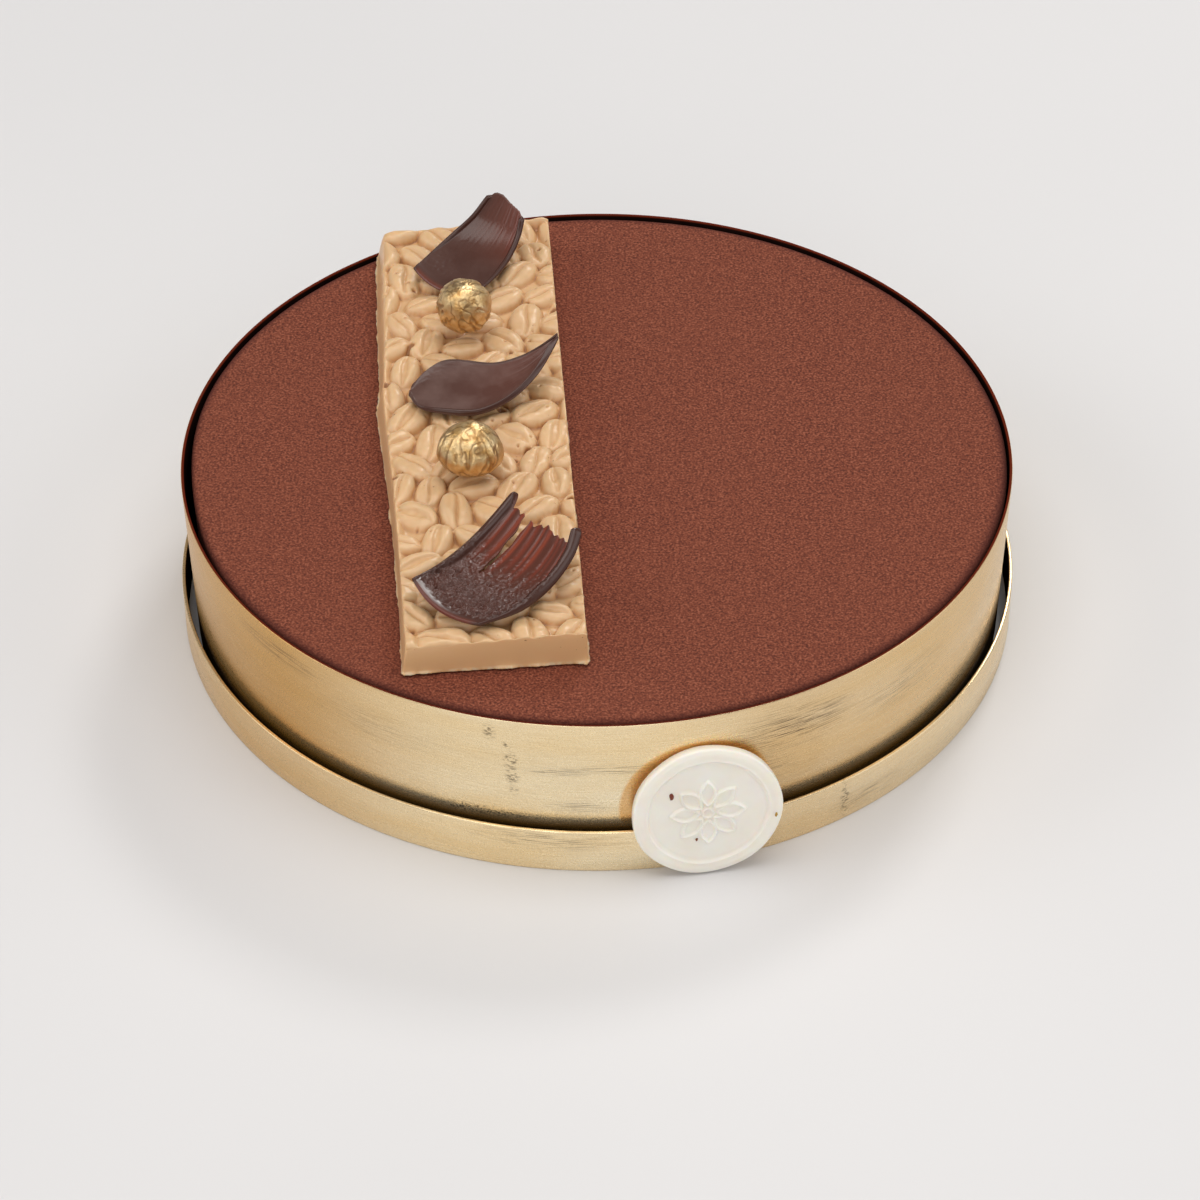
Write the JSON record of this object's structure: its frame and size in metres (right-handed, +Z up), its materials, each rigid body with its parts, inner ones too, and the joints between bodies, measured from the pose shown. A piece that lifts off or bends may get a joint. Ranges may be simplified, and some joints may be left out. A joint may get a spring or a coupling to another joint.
{
  "type": "hazelnut cake",
  "caption": "Round uncut mousse cake with a cocoa-velvet coat, held in gold-dusted chocolate bands and topped with a moulded praline bar, chocolate curls and gilded hazelnuts.",
  "frame": {"origin": "centre of the cake's flat base", "axes": "+Z up out of the cake's top, -Y towards the side that carries the seal, +X to the right seen from there"},
  "size_m": [0.2028, 0.2059, 0.067],
  "materials": {
    "cocoa_velvet": "sprayed cocoa-butter velvet, matt and finely grained",
    "gold_dusted_chocolate": "dark chocolate brushed with gold lustre, satin",
    "white_chocolate": "moulded, satin",
    "praline": "moulded caramel chocolate, satin",
    "dark_chocolate": "brushed thin, glossy",
    "gilded_hazelnut": "gold lustre on a roasted nut, bright"
  },
  "bodies": {
    "root": {"cake": "cocoa_velvet", "collar": "gold_dusted_chocolate", "lower_band": "gold_dusted_chocolate", "seal": "white_chocolate", "praline_bar": "praline", "curl_front": "dark_chocolate", "curl_middle": "dark_chocolate", "curl_back": "dark_chocolate", "hazelnut_front": "gilded_hazelnut", "hazelnut_back": "gilded_hazelnut"}
  },
  "joints": []
}
